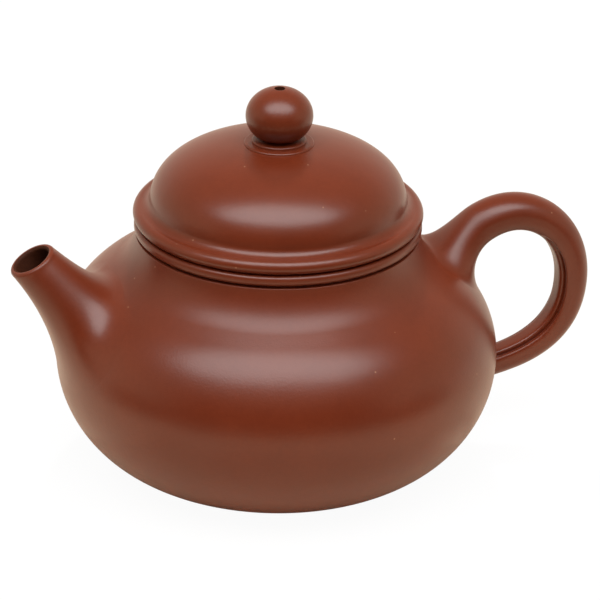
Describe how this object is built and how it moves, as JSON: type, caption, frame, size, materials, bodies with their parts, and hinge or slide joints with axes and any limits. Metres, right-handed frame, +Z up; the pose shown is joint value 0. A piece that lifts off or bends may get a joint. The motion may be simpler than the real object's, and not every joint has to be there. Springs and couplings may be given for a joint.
{
  "type": "teapot",
  "caption": "Round unglazed clay teapot with a short straight spout, an ear-shaped handle and a loose domed lid with a ball knob, for brewing and pouring tea.",
  "frame": {"origin": "centre of the foot ring, on the table", "axes": "+Z up, the spout points along -X and the handle along +X"},
  "size_m": [0.1214, 0.09, 0.0805],
  "materials": {
    "clay": "satin"
  },
  "bodies": {
    "pot": {"base_disc": "clay", "body_wall": "clay", "mouth_collar": "clay", "spout": "clay", "handle": "clay"},
    "lid": {"lid_rim": "clay", "lid_dome": "clay", "lid_flange": "clay", "knob_seat": "clay", "knob": "clay"}
  },
  "joints": [
    {"name": "lid_lift", "type": "slide", "parent": "pot", "child": "lid", "axis": [0, 0, 1], "range_m": [0, 0.05]}
  ]
}
